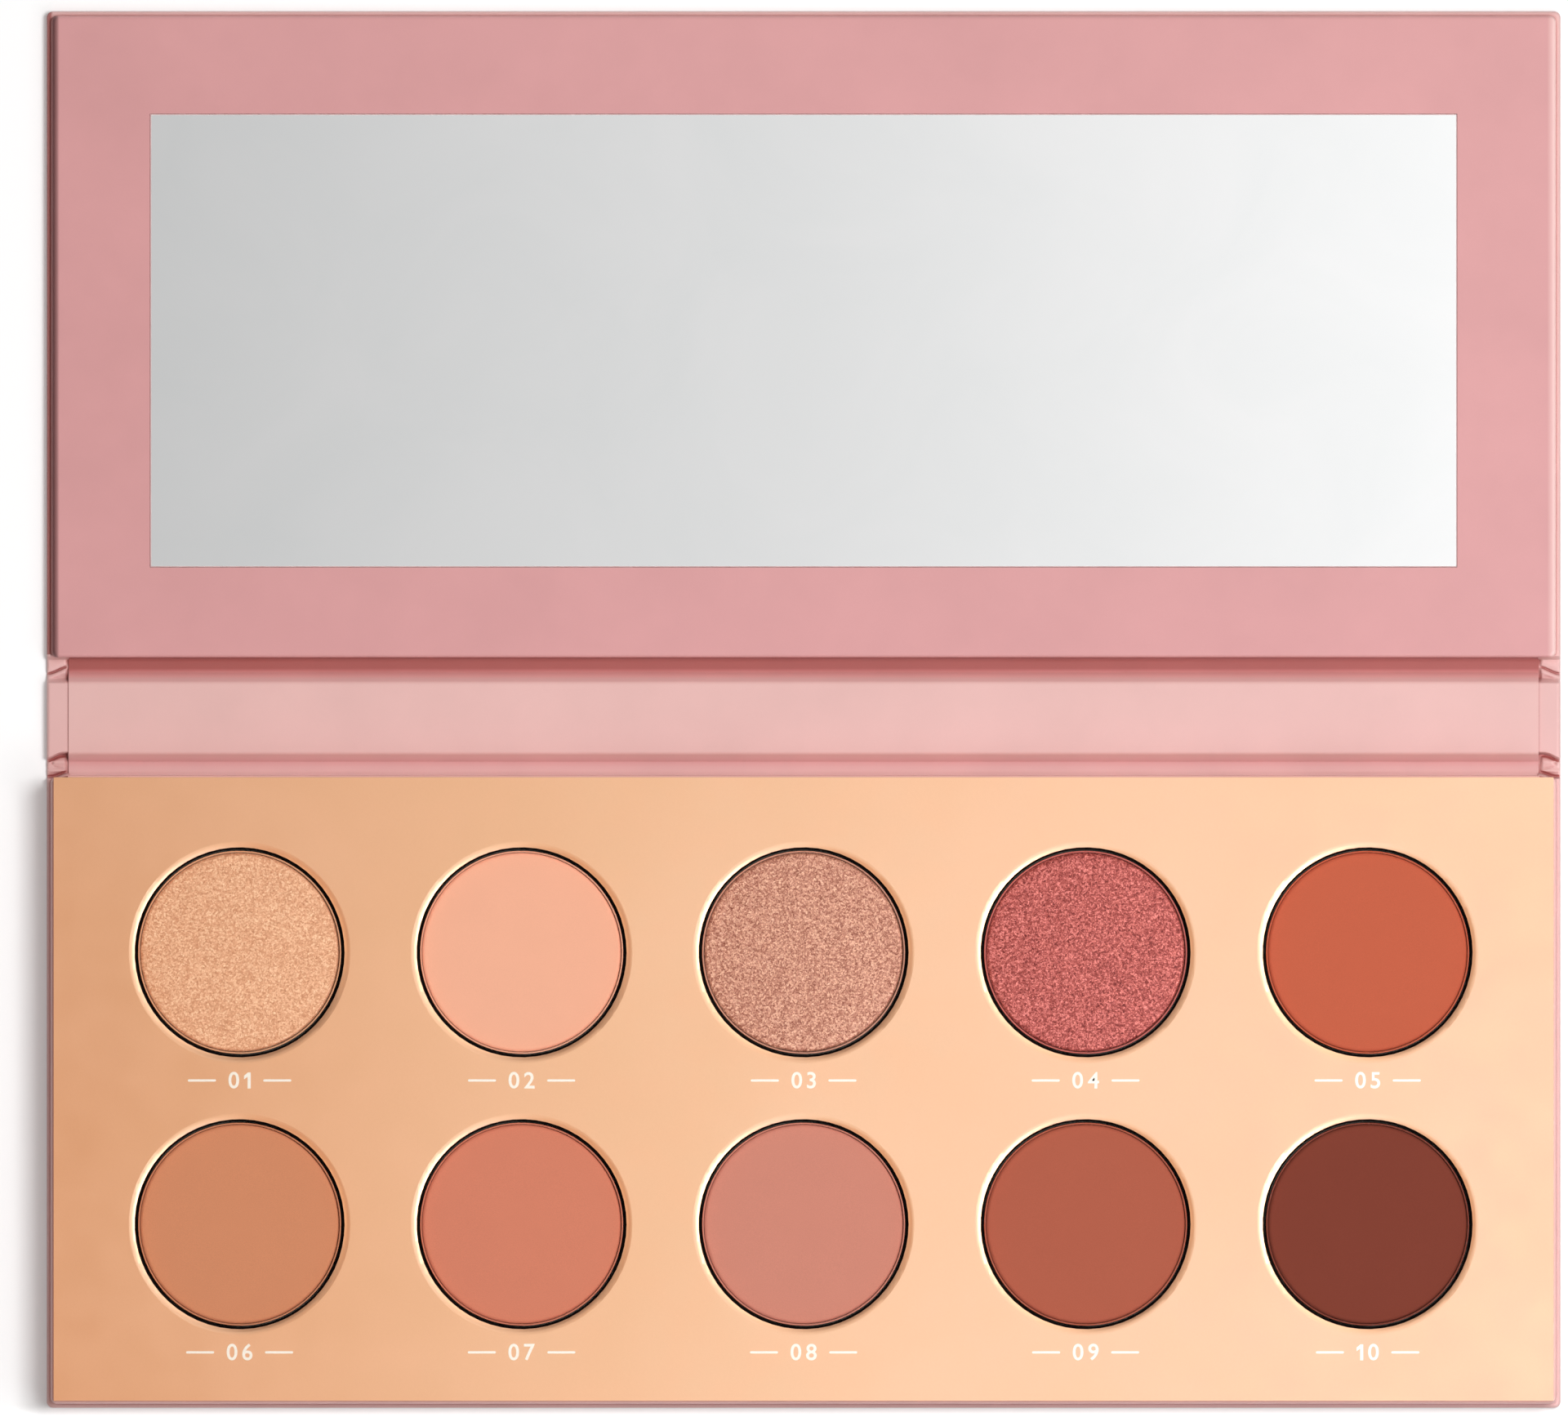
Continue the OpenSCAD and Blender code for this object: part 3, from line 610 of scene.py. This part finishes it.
def crease_wrap(name, y0, y1, flap, seed):
    """The outer wrap across a groove, with its turned-in ends folded back over it."""
    round_to, turned_to = HALF_W - 0.6, HALF_W - TURN_IN
    xs = both_sides([*np.arange(HALF_W, round_to, -0.05), *np.arange(round_to, FOLDED_TO, -0.08),
                     *np.arange(FOLDED_TO, turned_to, -0.6), turned_to, turned_to - 0.02,
                     *np.arange(turned_to - 2, 0, -6.0)])
    ys = np.linspace(y0, y1, int(round((y1 - y0) / 0.055)) + 1)
    x, y = np.meshgrid(xs, ys)
    u = HALF_W - np.abs(x)
    wrinkle = 0.03 * rumple(x, y, 0.8, seed) + 0.02 * rumple(x, y, 0.35, seed + 3)
    free = bell(y - (y0 + y1) / 2, (y1 - y0) / 3.2)
    height = np.maximum(flap(u, y) + wrinkle * free, THINNEST)
    height[u > TURN_IN + 0.01] = PAPER
    radius = np.minimum(EDGE_R, height / 2)
    reach = np.clip(radius - u, 0, radius)
    drop = radius - np.sqrt(np.maximum(radius ** 2 - reach ** 2, 0))
    top = np.stack([x, y, height - drop], axis=2)
    bottom = np.stack([x, y, drop], axis=2)
    return shell(name, top, bottom, COVER_PAPER)


base_path = resampled(rounded([
    (BACK_WALL, BASE_LINER_HIGH.z), (BACK_WALL, FLOOR_Z), (BASE_SLOPE[0], FLOOR_Z),
    (BASE_SLOPE[1], LINER_Z), (BASE_LINER_HIGH.y, LINER_Z)], [0.4, 0.45, 0.5]), 0.16)
lid_path = resampled(rounded([
    (LID_LINER_LOW.y, LINER_Z), (LID_SLOPE[0], LINER_Z), (LID_SLOPE[1], FLOOR_Z),
    (LID_WALL, FLOOR_Z), (LID_WALL, COVER_TOP)], [0.6, 0.6, 0.3]), 0.12)
base_lining = lining("base_crease_lining", base_path, 1.0, base_lift, BASE_GROOVE)
lid_lining = lining("lid_crease_lining", lid_path, 2.0, lid_lift, LID_GROOVE)
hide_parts("base_hinge_liner")
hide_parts("lid_hinge_liner")

base_wrap_piece = crease_wrap("base_crease_wrap", BASE_WRAP_LOW.y, BASE_WRAP_HIGH.y, base_flap, 4.0)
lid_wrap_piece = crease_wrap("lid_crease_wrap", LID_WRAP_LOW.y, LID_WRAP_HIGH.y, lid_flap, 6.0)
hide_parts("base_hinge_wrap")
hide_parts("lid_hinge_wrap")

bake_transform(base_wrap_piece)
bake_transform(base_lining)
for piece in (lid_wrap_piece, lid_lining):
    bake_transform(piece)


# ---------- powder cakes ----------

TRAY_FRONT = box_mm("base_wrap")[0].y
PITCH_X, PITCH_Y = 36.1, 34.8
COLUMNS = 5
FRONT_ROW_Y = round(TRAY_FRONT + 23.6, DECIMALS)
ROWS_Y = (round(FRONT_ROW_Y + PITCH_Y, DECIMALS), FRONT_ROW_Y)
CAKE_TOP = box_mm("powder_1")[1].z
CAKE_R = 12.79
CAKE_EDGE_R = 0.5
CROWN = 0.15
FOOT_RINGS = ((CAKE_R, 6.02), (12.61, 5.59), (12.2, 5.42))
FACE_RINGS, EDGE_RINGS, AROUND = 51, 7, 288
SHIMMER_RELIEF, MATTE_RELIEF = 0.022, 0.012


def pan_centre(index):
    row, column = divmod(index - 1, COLUMNS)
    return (column - COLUMNS // 2) * PITCH_X, ROWS_Y[row]


def cake_height(r, x, y, seed, texture):
    """Height of the pressed surface: low crown, rounded edge and the press cloth's faint relief."""
    flat = CAKE_R - CAKE_EDGE_R
    crown = CROWN * np.minimum(r / flat, 1) ** 2
    over = np.clip(r - flat, 0, CAKE_EDGE_R)
    edge = CAKE_EDGE_R - np.sqrt(np.maximum(CAKE_EDGE_R ** 2 - over ** 2, 0))
    crumb = 0.05 * rumple(x, y, 0.45, seed) * bell(r - CAKE_R + 0.15, 0.25)
    relief = texture * (rumple(x, y, 1.3, seed + 2) + 0.6 * rumple(x, y, 0.5, seed + 4))
    return CAKE_TOP - crown - edge + np.minimum(crumb, 0.02) + np.minimum(relief, 0.0)


def cake(index, material, texture):
    cx, cy = pan_centre(index)
    flat = CAKE_R - CAKE_EDGE_R
    radii = np.concatenate([
        np.linspace(0, flat, FACE_RINGS + 1)[1:],
        flat + CAKE_EDGE_R * np.sin(np.linspace(0, math.pi / 2, EDGE_RINGS + 1))[1:]])
    angle = np.arange(AROUND) * 2 * math.pi / AROUND
    r, a = np.meshgrid(radii, angle, indexing="ij")
    x, y = cx + r * np.cos(a), cy + r * np.sin(a)
    z = cake_height(r, x, y, 10.0 * index, texture)
    points = [(cx, cy, CAKE_TOP - 0.01), *np.stack([x, y, z], axis=2).reshape(-1, 3)]
    for ring_r, ring_z in FOOT_RINGS:
        points += [(cx + ring_r * math.cos(t), cy + ring_r * math.sin(t), ring_z) for t in angle]
    points.append((cx, cy, FOOT_RINGS[-1][1]))
    rings = len(radii) + len(FOOT_RINGS)
    following = [(k, (k + 1) % AROUND) for k in range(AROUND)]
    faces = [(0, 1 + k, 1 + n) for k, n in following]
    for ring in range(rings - 1):
        start = 1 + ring * AROUND
        faces += [(start + k, start + AROUND + k, start + AROUND + n, start + n)
                  for k, n in following]
    last = 1 + (rings - 1) * AROUND
    faces += [(last + k, len(points) - 1, last + n) for k, n in following]
    piece = add_piece(f"cake_{index}", points, faces, material)
    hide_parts(f"powder_{index}")
    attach(piece, "tray")


for i, powder_look in POWDERS.items():
    cake(i, powder_look, SHIMMER_RELIEF if i in SHIMMERS else MATTE_RELIEF)


# ---------- shade numbers ----------

CARD_TOP = box_mm("foil_card")[1].z
NUMBER_DROP = 16.4
CAP_HEIGHT = 2.05
CAP_SHARE = 0.70
FOIL_RELIEF = 0.02
FOIL_SINK = 0.002
DIGIT_GAP = 0.62
DASH_FROM, DASH_TO, DASH_HEIGHT = 1.6, 5.2, 0.30


def text_outline(character, size):
    """Mesh of one flat character, as points in millimetres and faces."""
    curve = bpy.data.curves.new("outline", "FONT")
    curve.body = character
    curve.size = size
    curve.offset = 0.035
    curve.extrude = FOIL_RELIEF / 2
    curve.bevel_depth = 0.006
    curve.resolution_u = 6
    holder = add_object("outline", curve)
    bpy.context.view_layer.update()
    mesh = bpy.data.meshes.new_from_object(
        holder.evaluated_get(bpy.context.evaluated_depsgraph_get()))
    points = np.array([v.co for v in mesh.vertices]).reshape(-1, 3)
    faces = [tuple(p.vertices) for p in mesh.polygons]
    bpy.data.objects.remove(holder)
    bpy.data.meshes.remove(mesh)
    bpy.data.curves.remove(curve)
    return points, faces


def prism(ring):
    """A flat closed outline, as thick as the foil print."""
    n = len(ring)
    points = [(x, y, z) for z in (0.0, FOIL_RELIEF) for x, y in ring]
    faces = [tuple(range(n)), tuple(range(2 * n - 1, n - 1, -1))]
    faces += [(k, n + k, n + (k + 1) % n, (k + 1) % n) for k in range(n)]
    return np.array(points), faces


def dash(x0, x1):
    """A dash with round ends."""
    mid, half, r = (x0 + x1) / 2, (x1 - x0) / 2, DASH_HEIGHT / 2
    turn = [math.pi * k / 8 for k in range(9)]
    return prism([(mid + half - r + r * math.sin(t), r * math.cos(t)) for t in turn]
                 + [(mid - half + r - r * math.sin(t), -r * math.cos(t)) for t in turn])


def digit(character):
    """One digit with its lower left corner at the origin; the font's plain 1 gets a flag."""
    if character == "1":
        top = CAP_HEIGHT
        points, faces = prism([(0.46, 0.0), (0.86, 0.0), (0.86, top), (0.50, top), (0.0, top - 0.42),
                               (0.0, top - 0.88), (0.46, top - 0.56)])
    else:
        points, faces = text_outline(character, CAP_HEIGHT / CAP_SHARE)
    return points - points.min(0), faces


def shade_number(index):
    """Two digits between two dashes, under the pan."""
    parts = []
    width = 0.0
    for character in f"{index:02d}":
        points, faces = digit(character)
        parts.append((points + (width, 0, 0), faces))
        width += points[:, 0].max() + DIGIT_GAP
    half = (width - DIGIT_GAP) / 2
    parts = [(points - (half, CAP_HEIGHT / 2, 0), faces) for points, faces in parts]
    near, far = half + DASH_FROM, half + DASH_TO
    parts += [dash(-far, -near), dash(near, far)]
    starts = np.cumsum([0] + [len(points) for points, _ in parts])
    faces = [tuple(int(start) + v for v in face)
             for start, (_, part_faces) in zip(starts, parts) for face in part_faces]
    cx, cy = pan_centre(index)
    place = (cx, cy - NUMBER_DROP, CARD_TOP)
    points = np.concatenate([part_points for part_points, _ in parts]) + place - (0, 0, FOIL_SINK)
    piece = add_piece(f"number_{index}", points, faces, CREAM, smooth=False)
    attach(piece, "tray")


for i in POWDERS:
    shade_number(i)


# ---------- stage, light and camera (metres) ----------

TABLE_SIZE = 8.0
TABLE_Z = -0.00002
TABLE_WHITE = (0.92, 0.92, 0.92, 1)
# Painted light: over this band towards the front, the table's glow for the camera rises, lifting the
# palette's shadow there.
FRONT_LIGHT_EDGE = (-0.0890, -0.0915)
BACK_GLOW, FRONT_PAINTED_LIGHT = 0.20, 0.60
REFLECTOR_SIZE = 1.4
REFLECTOR_Z = 0.35
REFLECTOR_REACH = 0.5
REFLECTOR_GAIN = 2.0
OVER_MIRROR = ((-0.50, 0.50), (-0.20, 0.46), (-0.092, 0.600), (0.0, 0.790), (0.092, 1.050),
               (0.20, 1.60), (0.50, 1.70))
OVER_TRAY = ((-0.50, (1.30, 0.95, 0.70)), (-0.20, (0.50, 0.29, 0.18)), (-0.092, (0.50, 0.25, 0.13)),
             (-0.05, (0.92, 0.80, 0.60)), (0.0, (1.08, 1.46, 1.64)), (0.092, (0.76, 0.80, 1.16)),
             (0.20, (0.64, 0.44, 0.66)), (0.50, (0.70, 0.60, 0.75)))
MIRROR_TO_TRAY = (0.017, -0.008)
BEHIND_Y, BEHIND_X = (0.085, 0.12), (0.05, -0.08)
BEHIND = (0.06, 0.03, 0.02, 1)
PANEL_COS, PANEL_SIN = 0.866, 0.5
PANEL_ALONG, PANEL_ASIDE = (0.21, 0.30), (0.26, 0.10)
PANEL_STRENGTH = 6.0
AMBIENT = (1.0, 0.985, 0.97, 1)
AMBIENT_STRENGTH = 0.24
CAMERA_PLACE = (-0.00251, -0.00044, 6.700)


def plane(name, z, size, material):
    half = size / 2
    mesh = bpy.data.meshes.new(name)
    mesh.from_pydata([(-half, -half, z), (half, -half, z), (half, half, z), (-half, half, z)],
                     [], [(0, 1, 2, 3)])
    obj = add_object(name, mesh)
    paint(obj, material)
    return obj


def table_material():
    """White table: diffuse, lifted for the camera so that its lit part is plain white; towards the front
    the lift rises, a painted light over the palette's shadow there.
    """
    material = bpy.data.materials.new("table_white")
    graph = Graph(material)
    front_light = graph.span(graph.axis("Y"), *FRONT_LIGHT_EDGE, BACK_GLOW, FRONT_PAINTED_LIGHT, smooth=True)
    camera_ray = graph.add("ShaderNodeLightPath").outputs["Is Camera Ray"]
    glow = graph.add("ShaderNodeEmission", {"Strength": graph.math("MULTIPLY", camera_ray, front_light)})
    diffuse = graph.add("ShaderNodeBsdfDiffuse", {"Color": TABLE_WHITE})
    total = graph.add("ShaderNodeAddShader", {0: diffuse.outputs[0], 1: glow.outputs[0]})
    graph.add("ShaderNodeOutputMaterial", {"Surface": total.outputs[0]})
    return material


def reflector_material():
    """Overhead reflector: dim over the left, with a bright panel front right.

    Over the mirror it brightens evenly to the right. Over the tray it is coloured, so that the foil
    shows the photo's warm left and pale right, and it is dark behind the lid's left half.
    """
    material = bpy.data.materials.new("reflector")
    graph = Graph(material)
    x, y = graph.axis("X"), graph.axis("Y")
    across = graph.span(x, -REFLECTOR_REACH, REFLECTOR_REACH)

    def stops(levels):
        return [((place + REFLECTOR_REACH) / (2 * REFLECTOR_REACH), [c / REFLECTOR_GAIN for c in colour])
                for place, colour in levels]

    over_mirror = graph.ramp(across, stops((place, (level,) * 3) for place, level in OVER_MIRROR))
    over_tray = graph.ramp(across, stops(OVER_TRAY))
    base = graph.blend(graph.span(y, *MIRROR_TO_TRAY, smooth=True), over_mirror, over_tray)
    behind = graph.math("MULTIPLY", graph.span(y, *BEHIND_Y), graph.span(x, *BEHIND_X))
    base = graph.blend(behind, base, BEHIND)
    along = graph.math("SUBTRACT", graph.math("MULTIPLY", x, PANEL_COS),
                       graph.math("MULTIPLY", y, PANEL_SIN))
    aside = graph.math("ADD", graph.math("MULTIPLY", x, PANEL_SIN),
                       graph.math("MULTIPLY", y, PANEL_COS))
    panel = graph.math("MULTIPLY", graph.span(along, *PANEL_ALONG, smooth=True),
                       graph.span(graph.math("ABSOLUTE", aside), *PANEL_ASIDE, smooth=True))
    glow = graph.add("ShaderNodeEmission", {"Color": base, "Strength": REFLECTOR_GAIN})
    bright = graph.add("ShaderNodeEmission", {
        "Strength": graph.math("MULTIPLY", panel, PANEL_STRENGTH)})
    total = graph.add("ShaderNodeAddShader", {0: glow.outputs[0], 1: bright.outputs[0]})
    graph.add("ShaderNodeOutputMaterial", {"Surface": total.outputs[0]})
    return material


def area_light(name, position, size, watts):
    """A square lamp that points at the origin and has no reflection of its own."""
    data = bpy.data.lights.new(name, "AREA")
    data.shape = "SQUARE"
    data.size = size
    data.energy = watts
    obj = add_object(name, data)
    obj.location = position
    obj.rotation_euler = (-Vector(position)).to_track_quat("-Z", "Y").to_euler()
    obj.visible_glossy = False


def studio():
    """White to the camera and in reflections, and a dim warm light for everything else."""
    world = bpy.data.worlds.new("studio")
    graph = Graph(world)
    rays = graph.add("ShaderNodeLightPath").outputs
    seen = graph.math("MAXIMUM", rays["Is Camera Ray"], rays["Is Glossy Ray"])
    seen = graph.math("MAXIMUM", seen, rays["Is Transmission Ray"])
    ambient = graph.add("ShaderNodeBackground", {"Color": AMBIENT, "Strength": AMBIENT_STRENGTH})
    white = graph.add("ShaderNodeBackground", {"Color": (1, 1, 1, 1), "Strength": 1.0})
    mixed = graph.add("ShaderNodeMixShader", {0: seen, 1: ambient.outputs[0], 2: white.outputs[0]})
    graph.add("ShaderNodeOutputWorld", {"Surface": mixed.outputs[0]})
    return world


def long_camera():
    """A long lens straight above the palette."""
    data = bpy.data.cameras.new("camera")
    data.sensor_width = 36.0
    data.sensor_fit = "HORIZONTAL"
    data.lens = 1200.0
    data.clip_start = 0.1
    data.clip_end = 20.0
    obj = add_object("camera", data)
    obj.location = CAMERA_PLACE
    return obj


plane("table", TABLE_Z, TABLE_SIZE, table_material())
reflector = plane("reflector", REFLECTOR_Z, REFLECTOR_SIZE, reflector_material())
for ray in ("camera", "diffuse", "transmission", "volume_scatter", "shadow"):
    setattr(reflector, f"visible_{ray}", False)
area_light("key", (0.272, 0.111, 1.008), 0.34, 6.91)
area_light("fill", (0.209, -0.163, 0.424), 0.25, 0.42)
scene = bpy.context.scene
scene.world = studio()
scene.camera = long_camera()
scene.view_settings.view_transform = "Standard"
